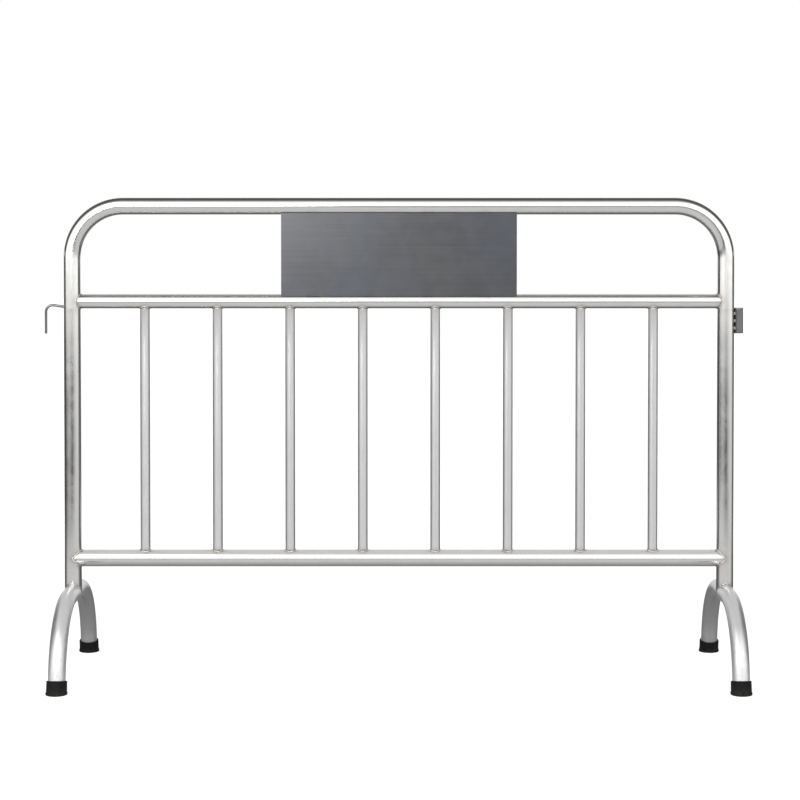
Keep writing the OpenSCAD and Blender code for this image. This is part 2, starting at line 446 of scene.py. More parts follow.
def makeWeldMetal():
    material, tree, shader = newMaterial("weldBead", Metallic=1.0)
    place = objectPlace(tree)
    cloud = noise(tree, place, 210.0, 3.0)
    heat = heatMarks(tree, remap(tree, cloud, 0.3, 0.7, 0.35, 0.95), place, 0.5, 0.5)
    colour = tinted(tree, heat, (0.58, 0.575, 0.57, 1))
    colour = blendColours(tree, heat["Soot Mask"], colour, (0.09, 0.08, 0.07, 1))
    fill(shader, {"Base Color": colour, "Roughness": remap(tree, cloud, 0.3, 0.7, 0.24, 0.42)})
    addBump(tree, shader, noise(tree, place, 1400.0, 2.0), 0.00002)
    return material


signValues = {
    "colour": (0.081, 0.083, 0.088, 1),
    "blueColour": (0.085, 0.096, 0.12, 1),
    "smudgeColour": (0.112, 0.112, 0.115, 1),
    "roughness": (0.3, 0.44),
    "brushDensity": 2600.0,
    "brushDepth": 0.000006,
    "panelBow": 0.0004,  # depth of the soft waves that the sheet has kept
    "edgeRound": 0.00035,
    "columns": 96,  # faces across and up the sheet
    "rows": 36,
}


def makeSheetSteel(v):
    material, tree, shader = newMaterial("brushedSheet", Metallic=1.0)
    place = objectPlace(tree)
    fine = noise(tree, vector(tree, "MULTIPLY", place, (7.0, 60.0, v["brushDensity"])), 1.0, 3.0)
    broad = noise(tree, vector(tree, "MULTIPLY", place, (3.0, 20.0, 420.0)), 1.0, 3.0)
    marks = useGroup(tree, handlingMarks, {"Place": place, "Scratch Amount": 0.5, "Smudge Amount": 0.7})
    heat = heatMarks(tree, attribute(tree, "nearWeld", "Fac"), place, 0.12, 0.05)
    tone = calc(tree, "MULTIPLY_ADD", fine, 0.5, product(tree, broad, 0.5))
    shade = remap(tree, tone, 0.32, 0.68)
    colour = blendColours(tree, shade, times(v["colour"], 0.88), times(v["colour"], 1.14))
    patch = noise(tree, place, 5.5, 2.0, {"Roughness": 0.45})
    colour = blendColours(tree, remap(tree, patch, 0.46, 0.66, 0.0, 0.5), colour, v["blueColour"])
    colour = blendColours(tree, product(tree, marks["Smudges"], 0.5), colour, v["smudgeColour"])
    low, high = v["roughness"]
    rough = calc(tree, "MULTIPLY_ADD", tone, high - low, low - 0.02)
    rough = calc(tree, "MULTIPLY_ADD", marks["Smudges"], 0.1, rough)
    rough = calc(tree, "MULTIPLY_ADD", marks["Scratches"], 0.1, rough)
    fill(shader, {"Base Color": tinted(tree, heat, colour), "Roughness": rough})
    addBump(tree, shader, tone, v["brushDepth"])
    return material


def makeRubber():
    material, tree, shader = newMaterial("capRubber")
    place = objectPlace(tree)
    cloud = noise(tree, place, 70.0, 4.0)
    dust = useGroup(tree, floorDust, {"Place": place, "Reach": 0.02, "Amount": 0.1})["Mask"]
    shader.inputs["Specular IOR Level"].default_value = 0.16
    mottle = remap(tree, cloud, 0.35, 0.65)
    colour = blendColours(tree, mottle, (0.0028, 0.0028, 0.003, 1), (0.0058, 0.0056, 0.0056, 1))
    colour = blendColours(tree, dust, colour, (0.2, 0.185, 0.165, 1))
    rough = calc(tree, "MULTIPLY_ADD", cloud, 0.22, 0.5)
    fill(shader, {"Base Color": colour, "Roughness": calc(tree, "MULTIPLY_ADD", dust, 0.35, rough)})
    addBump(tree, shader, calc(tree, "MULTIPLY_ADD", cloud, 3.0, noise(tree, place, 900.0, 3.0)), 0.00006)
    return material


polishedSteel = makeTubeSteel("polishedTube", finishValues["polishedTube"])
satinSteel = makeTubeSteel("satinTube", finishValues["satinTube"])
litFootSteel = makeTubeSteel("litFootTube", finishValues["litFootTube"])
rodSteel = makeTubeSteel("hookRod", finishValues["hookRod"])
weldMetal = makeWeldMetal()
sheetSteel = makeSheetSteel(signValues)
rubber = makeRubber()
print("materials made")


# geometry node trees
def captured(tree, geometry, domain, fields):  # keeps fields of the curve for the mesh made from it
    node = add(tree, "GeometryNodeCaptureAttribute", {"Geometry": geometry}, domain=domain)
    kept = []
    for label, (kind, socket) in fields.items():
        node.capture_items.new(kind, label)
        fill(node, {label: socket})
        kept.append(node.outputs[label])
    return node.outputs["Geometry"], kept


def position(tree):
    return geometryNode(tree, "InputPosition")


def curveLengths(tree):  # distance from a line's start, and its whole length
    here = add(tree, "GeometryNodeSplineParameter").outputs["Length"]
    return here, add(tree, "GeometryNodeSplineLength").outputs["Length"]


def resampled(tree, curve, step):
    return geometryNode(tree, "ResampleCurve", {"Curve": curve, "Length": step}, mode="LENGTH")


def namedVector(tree, name):
    return geometryNode(tree, "InputNamedAttribute", {"Name": name}, data_type="FLOAT_VECTOR")


def storeVector(tree, geometry, name, value):
    values = {"Geometry": geometry, "Name": name, "Value": value}
    return geometryNode(tree, "StoreNamedAttribute", values, data_type="FLOAT_VECTOR", domain="POINT")


def joined(tree, geometry, distance):  # seams closed and shaded smooth
    merged = geometryNode(tree, "MergeByDistance", {"Geometry": geometry, "Distance": distance})
    return geometryNode(tree, "SetShadeSmooth", {"Geometry": merged})


def finishTree(tree, result, geometry, material):
    real = geometryNode(tree, "RealizeInstances", {"Geometry": geometry})
    fill(result, {"Geometry": geometryNode(tree, "SetMaterial", {"Geometry": real, "Material": material})})


def newShapeTree(name, inputs):  # takes lines, gives faces with a material
    inputs = {"Geometry": "Geometry", **inputs, "Material": "Material"}
    return newGroup(name, "GeometryNodeTree", inputs, {"Geometry": "Geometry"})


def makeTubeTree():  # a tube along a bent line, each end cut to sit on a crossing tube
    tree, given, result = newShapeTree(
        "copedTube",
        {
            "Diameter": 0.038,
            "Bend Radius": 0.1,
            "Ring Step": 0.008,
            "Sides": 48,
            "Start Tube": 0.0,
            "End Tube": 0.0,
            "Cut Side": (0, 1, 0),
            "Bend Side": (0, 1, 0),
            "Round Tip": 0.0,
            "Closed Ends": False,
        },
    )
    curve = geometryNode(tree, "MeshToCurve", {"Mesh": given["Geometry"]})
    bend = {"Curve": curve, "Count": 48, "Radius": given["Bend Radius"]}
    fillet = geometryNode(tree, "FilletCurve", bend, mode="POLY")
    length, whole = curveLengths(tree)
    line, (fromStart, total, along, centre) = captured(
        tree,
        resampled(tree, fillet, given["Ring Step"]),
        "POINT",
        {
            "fromStart": ("FLOAT", length),
            "total": ("FLOAT", whole),
            "along": ("VECTOR", geometryNode(tree, "InputTangent")),
            "centre": ("VECTOR", position(tree)),
        },
    )
    half = calc(tree, "MULTIPLY", given["Diameter"], 0.5)
    circle = geometryNode(tree, "CurvePrimitiveCircle", {"Resolution": given["Sides"], "Radius": half})
    ball = quarterRound(tree, calc(tree, "SUBTRACT", whole, length), half)
    shrink = product(tree, oneMinus(tree, ball), given["Round Tip"])
    sweep = {"Curve": line, "Profile Curve": circle, "Scale": oneMinus(tree, shrink)}
    skin = geometryNode(tree, "CurveToMesh", {**sweep, "Fill Caps": given["Closed Ends"]})
    out = vector(tree, "SUBTRACT", position(tree), centre)
    aside = vector(tree, "DOT_PRODUCT", out, given["Cut Side"])
    moves = []
    for tubeSize, away in (("Start Tube", fromStart), ("End Tube", calc(tree, "SUBTRACT", total, fromStart))):
        radius = calc(tree, "MULTIPLY", given[tubeSize], 0.5)
        squared = calc(tree, "SUBTRACT", product(tree, radius, radius), product(tree, aside, aside))
        seat = calc(tree, "SQRT", calc(tree, "MAXIMUM", squared, 0.0))
        moves.append(calc(tree, "MAXIMUM", calc(tree, "SUBTRACT", seat, away), 0.0))
    push = calc(tree, "SUBTRACT", moves[0], moves[1])
    cut = geometryNode(tree, "SetPosition", {"Geometry": skin, "Offset": scaled(tree, along, push)})
    across = vector(tree, "CROSS_PRODUCT", along, given["Bend Side"])
    straight = combine(
        tree,
        calc(tree, "ADD", fromStart, push),
        vector(tree, "DOT_PRODUCT", out, given["Bend Side"]),
        vector(tree, "DOT_PRODUCT", out, across),
    )
    held, (straight,) = captured(tree, cut, "POINT", {"straight": ("VECTOR", straight)})
    named = storeVector(tree, held, "tubePlace", straight)
    finishTree(tree, result, joined(tree, named, 0.00002), given["Material"])
    return tree


def makeRowTree(tubeTree):  # the same coped tube, set out in a row at one pitch
    tree, given, result = newShapeTree(
        "balusterRow",
        {
            "Count": 8,
            "Pitch": 0.16,
            "Diameter": 0.022,
            "Sides": 40,
            "Ring Step": 0.01,
            "Lower Tube": 0.038,
            "Upper Tube": 0.032,
            "Seed": 4,
        },
    )
    same = {label: given[label] for label in ("Geometry", "Diameter", "Sides", "Ring Step", "Material")}
    ends = {"Start Tube": given["Lower Tube"], "End Tube": given["Upper Tube"]}
    tube = geometryNode(tree, "Group", {**same, **ends}, node_tree=tubeTree)
    step = combine(tree, given["Pitch"])
    spots = geometryNode(tree, "MeshLine", {"Count": given["Count"], "Offset": step})
    row = geometryNode(tree, "InstanceOnPoints", {"Points": spots, "Instance": tube})
    values = {2: 0.0, 3: 9.0, "ID": geometryNode(tree, "InputIndex"), "Seed": given["Seed"]}
    pick = add(tree, "FunctionNodeRandomValue", values, data_type="FLOAT")
    held, (slide,) = captured(tree, row, "INSTANCE", {"slide": ("FLOAT", pick.outputs[1])})
    real = geometryNode(tree, "RealizeInstances", {"Geometry": held})
    moved = vector(tree, "ADD", namedVector(tree, "tubePlace"), combine(tree, slide))
    finishTree(tree, result, storeVector(tree, real, "tubePlace", moved), given["Material"])
    return tree


def makeBeadTree():  # a rippled weld bead along each line
    tree, given, result = newShapeTree(
        "rippledBead",
        {
            "Radius": 0.002,
            "Ripple Pitch": 0.0016,
            "Ripple Depth": 0.16,
            "Crescent": 0.5,
            "Unevenness": 0.12,
            "Round Ends": 0.0,
            "Seed": 1.0,
        },
    )
    curve = geometryNode(tree, "MeshToCurve", {"Mesh": given["Geometry"]})
    fine = resampled(tree, curve, calc(tree, "DIVIDE", given["Ripple Pitch"], 5.0))
    aim = {"Curve": fine, "Normal": namedVector(tree, "outward")}
    aimed = geometryNode(tree, "SetCurveNormal", aim, mode="FREE")
    length, whole = curveLengths(tree)
    count = calc(tree, "DIVIDE", length, given["Ripple Pitch"])
    phase = calc(tree, "MULTIPLY_ADD", calc(tree, "FRACT", count), 2.0, -1.0)
    hump = product(tree, phase, phase, given["Ripple Depth"])
    shifted = vector(tree, "ADD", position(tree), combine(tree, z=given["Seed"]))
    wander = noise(tree, shifted, 170.0, 2.0)
    uneven = product(tree, calc(tree, "MULTIPLY_ADD", wander, 2.0, -1.0), given["Unevenness"])
    nearest = calc(tree, "MINIMUM", length, calc(tree, "SUBTRACT", whole, length))
    ball = quarterRound(tree, nearest, given["Radius"])
    ends = oneMinus(tree, product(tree, oneMinus(tree, ball), given["Round Ends"]))
    size = product(tree, calc(tree, "ADD", oneMinus(tree, hump), uneven), ends)
    circle = geometryNode(tree, "CurvePrimitiveCircle", {"Resolution": 12, "Radius": given["Radius"]})
    across = calc(tree, "DIVIDE", separate(tree, position(tree))[1], given["Radius"])
    lag = combine(tree, z=product(tree, across, across, given["Radius"], given["Crescent"]))
    profile = geometryNode(tree, "SetPosition", {"Geometry": circle, "Offset": lag})
    bead = geometryNode(tree, "CurveToMesh", {"Curve": aimed, "Profile Curve": profile, "Scale": size})
    finishTree(tree, result, joined(tree, bead, 0.000003), given["Material"])
    return tree


tubeTree = makeTubeTree()
rowTree = makeRowTree(tubeTree)
beadTree = makeBeadTree()
print("geometry node trees made")


# mesh helpers
def newObject(name, vertices, edges=(), faces=()):
    mesh = bpy.data.meshes.new(name)
    mesh.from_pydata([tuple(v) for v in vertices], list(edges), list(faces))
    mesh.update()
    return show(bpy.data.objects.new(name, mesh))


def useTree(made, tree, values):
    modifier = made.modifiers.new(tree.name, "NODES")
    modifier.node_group = tree
    for item in tree.interface.items_tree:
        if item.in_out == "INPUT" and item.name in values:
            modifier[item.identifier] = values[item.name]


def settle(made):  # the finished shape becomes the object's own plain mesh
    bpy.context.view_layer.update()
    graph = bpy.context.evaluated_depsgraph_get()
    final = made.evaluated_get(graph)
    mesh = bpy.data.meshes.new_from_object(final, preserve_all_data_layers=True, depsgraph=graph)
    made.modifiers.clear()
    old = made.data
    made.data = mesh
    bpy.data.meshes.remove(old)
    mesh.name = made.name


def bandFaces(ring, following, sides):  # the faces between two rings of points
    a, b = ring * sides, following * sides
    turns = [(k, (k + 1) % sides) for k in range(sides)]
    return [(a + k, a + after, b + after, b + k) for k, after in turns]


def setVectors(made, name, vectors):
    layer = made.data.attributes.new(name, "FLOAT_VECTOR", "POINT")
    layer.data.foreach_set("vector", np.array([tuple(v) for v in vectors], np.float32).ravel())


def place(made, slotName, *nodes):
    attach(made, "root")
    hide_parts(*nodes)


def makeTube(name, corners, values, wall=None):
    edges = [(i, i + 1) for i in range(len(corners) - 1)]
    made = newObject(name, corners, edges)
    useTree(made, tubeTree, values)
    if wall:
        addWall(made, wall)
    settle(made)
    return made


def addWall(made, wall):
    solid = made.modifiers.new("wall", "SOLIDIFY")
    solid.thickness = wall
    solid.offset = -1.0
    solid.use_rim = True


# welds: where tubes meet
weldValues = {
    "beadRadius": 0.00145,
    "heatReach": 0.02,  # how far from a weld its tint can be seen
    "pathPoints": 72,
    "hookShare": 0.75,  # the hook's bead is this much of the others' size
}


def seam(centre, branchAxis, branchRadius, mainAxis, mainRadius):
    centre, branch, main = Vector(centre), Vector(branchAxis).normalized(), Vector(mainAxis)
    side = branch.cross(main).normalized()
    upright = side.cross(branch)
    flatBranch = branch - main * branch.dot(main)
    points, outward = [], []
    for k in range(weldValues["pathPoints"]):
        turn = 2 * math.pi * k / weldValues["pathPoints"]
        out = side * math.cos(turn) + upright * math.sin(turn)
        start = out * branchRadius
        flatStart = start - main * start.dot(main)
        a = flatBranch.length_squared
        b = flatStart.dot(flatBranch)
        c = flatStart.length_squared - mainRadius**2
        reach = (-b + math.sqrt(max(b * b - a * c, 0.0))) / a
        onBoth = start + branch * reach
        mainNormal = (onBoth - main * onBoth.dot(main)).normalized()
        away = (out + mainNormal).normalized()
        points.append(centre + onBoth)
        outward.append(away)
    return points, outward


def railSeams(z, size):  # both ends of a rail
    hoopRadius, ends = tubeValues["hoop"] / 2, ((leftX, 1), (rightX, -1))
    return [seam((x, 0, z), (inward, 0, 0), size / 2, (0, 0, 1), hoopRadius) for x, inward in ends]


def uprightSeams(places, z, direction, size, mainAxis, mainSize):
    return [seam((x, 0, z), (0, 0, direction), size / 2, mainAxis, mainSize / 2) for x in places]


hookValues = {
    "rod": 0.006,
    "drop": 0.012,  # from the upper rail's axis down to the weld
    "rise": 8.0,  # degrees that the arm climbs
    "bendRadius": 0.015,
    "ringStep": 0.0006,
    "sides": 28,
}
hookRise = math.radians(hookValues["rise"])
armZ = upperRailZ - hookValues["drop"] - tubeValues["hoop"] / 2 * math.tan(hookRise)
armRoot = Vector((leftX, 0, armZ))
armAxis = Vector((-math.cos(hookRise), 0, math.sin(hookRise)))

hoopSize, upperSize, lowerSize = tubeValues["hoop"], tubeValues["upperRail"], tubeValues["lowerRail"]
barSize, footSize = tubeValues["baluster"], tubeValues["foot"]
seams = {
    "upperRailWelds": railSeams(upperRailZ, upperSize),
    "lowerRailWelds": railSeams(lowerRailZ, lowerSize),
    "balusterTopWelds": uprightSeams(balusterX, upperRailZ, -1, barSize, (1, 0, 0), upperSize),
    "balusterBottomWelds": uprightSeams(balusterX, lowerRailZ, 1, barSize, (1, 0, 0), lowerSize),
    "footWelds": uprightSeams((leftX, rightX), archZ, 1, hoopSize, (0, 1, 0), footSize),
    "hookWeld": [seam(armRoot, armAxis, hookValues["rod"] / 2, (0, 0, 1), hoopSize / 2)],
}
weldPoints = [p for loops in seams.values() for points, outward in loops for p in points]


# socket and the short beads in the grooves beside it
socketValues = {
    "bore": 0.016,
    "rimRound": 0.0005,
    "sides": 64,
    "wallRings": 7,  # rings of faces along each straight wall
    "beadCount": 3,
    "beadLength": 0.0076,
    "beadRadius": 0.0027,
    "beadSink": 0.0013,
    "beadPoints": 7,
}


def grooveBeads(v):
    low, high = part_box("link_socket")
    radius = (high.x - low.x) / 2
    socketX = (low.x + high.x) / 2 - rightX
    fromPost = tubeValues["hoop"] / 2 + v["beadRadius"] - v["beadSink"]
    fromSocket = radius + v["beadRadius"] - v["beadSink"]
    x = (fromPost**2 - fromSocket**2 + socketX**2) / (2 * socketX)
    y = math.sqrt(fromPost**2 - x**2)
    pitch = (high.z - low.z + v["beadLength"]) / (v["beadCount"] + 1)
    count = v["beadPoints"]
    lines = []
    for side in (-1, 1):
        for i in range(v["beadCount"]):
            top = high.z + v["beadLength"] - (i + 1) * pitch
            run = [(rightX + x, side * y, top - v["beadLength"] * t / (count - 1)) for t in range(count)]
            lines.append((run, [Vector((0, side, 0))] * count))
    return lines


# tack welds along the sign's back edges
tackValues = {
    "count": 4,
    "length": 0.014,
    "radius": 0.002,
    "inset": 0.0016,  # from the sheet's edge inwards
    "stand": 0.0012,  # from the sheet's back outwards
    "points": 9,
}


def tackLines(edgeZ, towards, v):
    low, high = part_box("sign_plate")
    pitch = (high.x - low.x - v["length"]) / v["count"]
    lines = []
    for i in range(v["count"]):
        x = (low.x + high.x) / 2 + (i - (v["count"] - 1) / 2) * pitch
        y, z = high.y + v["stand"], edgeZ - towards * v["inset"]
        run = [(x + v["length"] * (t / (v["points"] - 1) - 0.5), y, z) for t in range(v["points"])]
        lines.append((run, [Vector((0, 1, 0))] * v["points"]))
    return lines


shortBeads = {
    "socketWelds": (grooveBeads(socketValues), socketValues["beadRadius"]),
    "signTopTacks": (tackLines(highest("sign_plate").z, 1, tackValues), tackValues["radius"]),
    "signBottomTacks": (tackLines(lowest("sign_plate").z, -1, tackValues), tackValues["radius"]),
}
for lines, radius in shortBeads.values():
    weldPoints += [Vector(p) for points, outward in lines for p in points]
weldTree = KDTree(len(weldPoints))
for number, point in enumerate(weldPoints):
    weldTree.insert(point, number)
weldTree.balance()


def markHeat(made):
    mesh = made.data
    reach = weldValues["heatReach"]
    near = [max(0.0, 1 - weldTree.find(v.co)[2] / reach) for v in mesh.vertices]
    layer = mesh.attributes.new("nearWeld", "FLOAT", "POINT")
    layer.data.foreach_set("value", np.array(near, np.float32))


# hoop, rails and balusters
def makeFrameTubes(v):
    shared = {"Sides": v["sides"], "Ring Step": v["ringStep"], "Material": polishedSteel}
    hoop = makeTube(
        "topHoop",
        [(leftX, 0, archZ), (leftX, 0, topZ), (rightX, 0, topZ), (rightX, 0, archZ)],
        {
            **shared,
            "Diameter": v["hoop"],
            "Bend Radius": v["hoopBend"],
            "Start Tube": v["foot"],
            "End Tube": v["foot"],
            "Cut Side": (1.0, 0.0, 0.0),
        },
        v["hoopWall"],
    )
    place(hoop, "polished_tube", "top_hoop")
    for name, node, size, z in (
        ("upperRail", "upper_rail", v["upperRail"], upperRailZ),
        ("lowerRail", "lower_rail", v["lowerRail"], lowerRailZ),
    ):
        rail = makeTube(
            name,
            [(leftX, 0, z), (rightX, 0, z)],
            {**shared, "Diameter": size, "Start Tube": v["hoop"], "End Tube": v["hoop"]},
            v["railWall"],
        )
        markHeat(rail)
        place(rail, "polished_tube", node)
    markHeat(hoop)


def makeBalusters(v):
    row = newObject("balusters", [(balusterX[0], 0, lowerRailZ), (balusterX[0], 0, upperRailZ)], [(0, 1)])
    useTree(
        row,
        rowTree,
        {
            "Count": v["balusterCount"],
            "Pitch": (balusterX[-1] - balusterX[0]) / (v["balusterCount"] - 1),
            "Diameter": v["baluster"],
            "Sides": v["balusterSides"],
            "Ring Step": v["balusterStep"],
            "Lower Tube": v["lowerRail"],
            "Upper Tube": v["upperRail"],
            "Seed": 4,
            "Material": satinSteel,
        },
    )
    addWall(row, v["balusterWall"])
    settle(row)
    markHeat(row)
    place(row, "satin_tube", *[f"baluster_{i + 1}" for i in range(v["balusterCount"])])


makeFrameTubes(tubeValues)
makeBalusters(tubeValues)
print("hoop, rails and balusters made")


# feet
def makeFoot(name, node, x, v):
    shoulderY = toeY - (archZ - toeZ) * math.tan(splay)
    foot = makeTube(
        name,
        [(x, -toeY, toeZ), (x, -shoulderY, archZ), (x, shoulderY, archZ), (x, toeY, toeZ)],
        {
            "Diameter": v["foot"],
            "Bend Radius": v["footBend"],
            "Sides": v["sides"],
            "Ring Step": v["footStep"],
            "Bend Side": (1.0, 0.0, 0.0),
            "Material": litFootSteel,
        },
        v["footWall"],
    )
    markHeat(foot)
    place(foot, "satin_tube", node)


makeFoot("leftFoot", "left_foot_arch", leftX, tubeValues)
makeFoot("rightFoot", "right_foot_arch", rightX, tubeValues)


# rubber caps
capValues = {
    "wall": 0.0034,
    "cover": 0.022,  # length of tube inside the rubber
    "flare": 0.001,
    "fit": 0.00005,  # gap between tube and rubber
    "sides": 72,
    "seamHeight": 0.00025,  # the mould's parting line, on two sides
}


def makeCap(name, node, x, front, v):
    bore = tubeValues["foot"] / 2 + v["fit"]
    outer = tubeValues["foot"] / 2 + v["wall"]
    flared = outer + v["flare"]
    top = toeZ + v["cover"] * math.cos(splay)
    # height at the cap's middle, radius, and how much of the leg's lean the ring takes
    rings = [
        (0.0009, 0.0035, 0), (0.0009, 0.0065, 0), (0.0, 0.0072, 0), (0.0, 0.0108, 0), (0.0009, 0.0115, 0),
        (0.0009, 0.0145, 0), (0.0, 0.0152, 0), (0.0, flared - 0.0016, 0), (0.0002, flared - 0.0009, 0),
        (0.0007, flared - 0.0003, 0), (0.0014, flared, 0), (0.0034, flared, 0.1),
        (0.0048, flared - 0.0002, 0.3), (0.0060, outer + 0.0002, 0.5), (0.0070, outer, 0.7),
        (0.0090, outer - 0.0001, 0.9), (top - 0.0080, outer - 0.0002, 1), (top - 0.0052, outer - 0.0002, 1),
        (top - 0.0048, outer - 0.0006, 1), (top - 0.0042, outer - 0.0006, 1),
        (top - 0.0038, outer - 0.0001, 1), (top - 0.0022, outer, 1), (top - 0.0011, outer - 0.0003, 1),
        (top - 0.0003, outer - 0.0010, 1), (top, outer - 0.0019, 1), (top - 0.0003, bore + 0.0005, 1),
        (top - 0.0010, bore, 1),
        (toeZ + 0.0008, bore, 1), (toeZ - 0.0001, bore - 0.0010, 1), (toeZ - 0.0002, 0.0090, 1),
    ]
    facing = -1 if front else 1
    axis = Vector((0, facing * math.sin(splay), -math.cos(splay)))
    toe = Vector((x, facing * toeY, toeZ))
    n = v["sides"]
    verts = []
    for height, radius, lean in rings:
        centre = toe + axis * ((toeZ - height) / math.cos(splay))
        tip = splay * lean * facing
        lengthways = Vector((0, math.cos(tip), math.sin(tip)))
        hasLine = 0.001 < height < top - 0.003 and radius > outer - 0.001
        for k in range(n):
            turn = 2 * math.pi * k / n
            reach = radius + (v["seamHeight"] if hasLine and k % (n // 2) == 0 else 0)
            verts.append(centre + (Vector((1, 0, 0)) * math.cos(turn) + lengthways * math.sin(turn)) * reach)
    last = len(rings) - 1
    faces = [face for ring in range(last) for face in bandFaces(ring, ring + 1, n)]
    for ring in (0, last):
        pole = len(verts)
        verts.append(toe + axis * ((toeZ - rings[ring][0]) / math.cos(splay)))
        for k in range(n):
            a, b = ring * n + k, ring * n + (k + 1) % n
            faces.append((pole, b, a) if ring == 0 else (pole, a, b))
    cap = newObject(name, verts, (), faces)
    cap.data.shade_smooth()
    cap.data.materials.append(rubber)
    place(cap, "cap_rubber", node)


for x, sideName in ((leftX, "left"), (rightX, "right")):
    for front, endName in ((True, "front"), (False, "rear")):
        makeCap(sideName + endName.capitalize() + "Cap", f"{sideName}_{endName}_cap", x, front, capValues)
print("feet and caps made")


# sign
def makeSign(v):
    low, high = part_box("sign_plate")
    columns, rows = v["columns"], v["rows"]
    verts, faces = [], []
    middleX, middleZ = (low.x + high.x) / 2, (low.z + high.z) / 2
    halfW, halfH = (high.x - low.x) / 2, (high.z - low.z) / 2
    thickness = high.y - low.y
    for j in range(rows + 1):
        for i in range(columns + 1):
            u, w = 2 * i / columns - 1, 2 * j / rows - 1
            bow = math.sin(2.3 * u + 0.6) * math.cos(1.7 * w + 0.4 * u) * (1 - u * u) * (1 - w * w)
            y = high.y - thickness / 2 + v["panelBow"] * bow
            verts.append((middleX + halfW * u, y, middleZ + halfH * w))
    for j in range(rows):
        for i in range(columns):
            a = j * (columns + 1) + i
            faces.append((a, a + 1, a + columns + 2, a + columns + 1))
    sign = newObject("signPlate", verts, (), faces)
    sign.data.materials.append(sheetSteel)
    sign.data.shade_smooth()
    solid = sign.modifiers.new("thickness", "SOLIDIFY")
    solid.thickness = thickness
    solid.offset = 0.0
    bevel = sign.modifiers.new("edges", "BEVEL")
    bevel.width = v["edgeRound"]
    bevel.segments = 3
    bevel.limit_method = "ANGLE"
    bevel.angle_limit = math.radians(50)
    bevel.harden_normals = True
    settle(sign)
    markHeat(sign)
    place(sign, "sign_sheet", "sign_plate")


makeSign(signValues)


# hook
def makeHook(v):
    low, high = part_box("link_hook")
    pinX = low.x + v["rod"] / 2
    cornerZ = armRoot.z + (armRoot.x - pinX) * math.tan(hookRise)
    hook = makeTube(
        "linkHook",
        [armRoot, (pinX, 0, cornerZ), (pinX, 0, low.z)],
        {
            "Diameter": v["rod"],
            "Bend Radius": v["bendRadius"],
            "Sides": v["sides"],
            "Ring Step": v["ringStep"],
            "Start Tube": tubeValues["hoop"] / math.cos(hookRise),
            "Round Tip": 1.0,
            "Closed Ends": True,
            "Material": rodSteel,
        },
    )
    markHeat(hook)
    place(hook, "hook_rod", "link_hook")


makeHook(hookValues)


# socket
def makeSocket(v):
    low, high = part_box("link_socket")
    centre = (low + high) / 2
    outer, inner, r = (high.x - low.x) / 2, v["bore"] / 2, v["rimRound"]
    outline = [
        (outer, low.z + r), (outer, high.z - r), (outer - r * 0.3, high.z - r * 0.3), (outer - r, high.z),
        (inner + r, high.z), (inner + r * 0.3, high.z - r * 0.3), (inner, high.z - r),
        (inner, low.z + r), (inner + r * 0.3, low.z + r * 0.3), (inner + r, low.z),
        (outer - r, low.z), (outer - r * 0.3, low.z + r * 0.3),
    ]
    steps = v["wallRings"]
    profile = []
    for k, (radius, z) in enumerate(outline):
        nextRadius, nextZ = outline[(k + 1) % len(outline)]
        parts = steps if abs(nextZ - z) > 0.01 else 1
        for t in range(parts):
            profile.append((radius + (nextRadius - radius) * t / parts, z + (nextZ - z) * t / parts))
    n = v["sides"]
    turns = [2 * math.pi * k / n for k in range(n)]
    verts = [
        (centre.x + radius * math.cos(turn), centre.y + radius * math.sin(turn), z)
        for radius, z in profile
        for turn in turns
    ]
    faces = [face for ring in range(len(profile)) for face in bandFaces(ring, (ring + 1) % len(profile), n)]
    socket = newObject("linkSocket", verts, (), faces)
    socket.data.materials.append(rodSteel)
    socket.data.shade_smooth()
    setVectors(socket, "tubePlace", [(z, x - centre.x, y - centre.y) for x, y, z in verts])
    markHeat(socket)
    place(socket, "satin_tube", "link_socket")


makeSocket(socketValues)
print("sign, hook and socket made")


# weld beads
beadShape = {
    "Ripple Pitch": 0.0015,
    "Ripple Depth": 0.2,
    "Crescent": 0.55,
    "Unevenness": 0.14,
}


def makeBeads(name, lines, radius, closed, seed, *nodes):
    verts, edges, outward = [], [], []
    for points, away in lines:
        first = len(verts)
        verts += points
        outward += away
        edges += [(first + k, first + k + 1) for k in range(len(points) - 1)]
        if closed:
            edges.append((first + len(points) - 1, first))
    bead = newObject(name, verts, edges)
    setVectors(bead, "outward", outward)
    useTree(
        bead,
        beadTree,
        {
            **beadShape,
            "Radius": radius,
            "Round Ends": 0.0 if closed else 1.0,
            "Seed": float(seed),
            "Material": weldMetal,
        },
    )
    settle(bead)
    place(bead, "weld_bead", *nodes)


beadNodes = {
    "upperRailWelds": "upper_rail_welds",
    "lowerRailWelds": "lower_rail_welds",
    "balusterTopWelds": "baluster_top_welds",
    "balusterBottomWelds": "baluster_bottom_welds",
    "footWelds": "foot_welds",
    "hookWeld": "hook_weld",
    "socketWelds": "socket_welds",
    "signTopTacks": "sign_top_tacks",
    "signBottomTacks": "sign_bottom_tacks",
}
for seed, (name, node) in enumerate(beadNodes.items()):
    if name in seams:
        size = weldValues["beadRadius"] * (weldValues["hookShare"] if name == "hookWeld" else 1)
        makeBeads(name, seams[name], size, True, seed, node)
    else:
        makeBeads(name, *shortBeads[name], False, seed, node)
print("weld beads made")


# floor and light
floorValues = {
    "halfSize": 30.0,
    "colour": (0.82, 0.82, 0.81, 1),
    "lift": 0.62,  # its own glow, as the camera sees it
    "near": 0.8,  # brightness that the tubes mirror close in front
    "under": 0.3,  # and below and behind them
    "underFade": 0.3,  # share of that which is left behind them
    "beyond": 0.6,  # farther behind, for the other side
    "nearEdge": (-0.3, 0.12),  # from front to back, where each gives way to the next
    "underEdge": (0.1, 0.9),
    "beyondEdge": (1.2, 1.7),
    "edge": (2.2, 3.4),  # distances over which the near floor gives way to the room
}


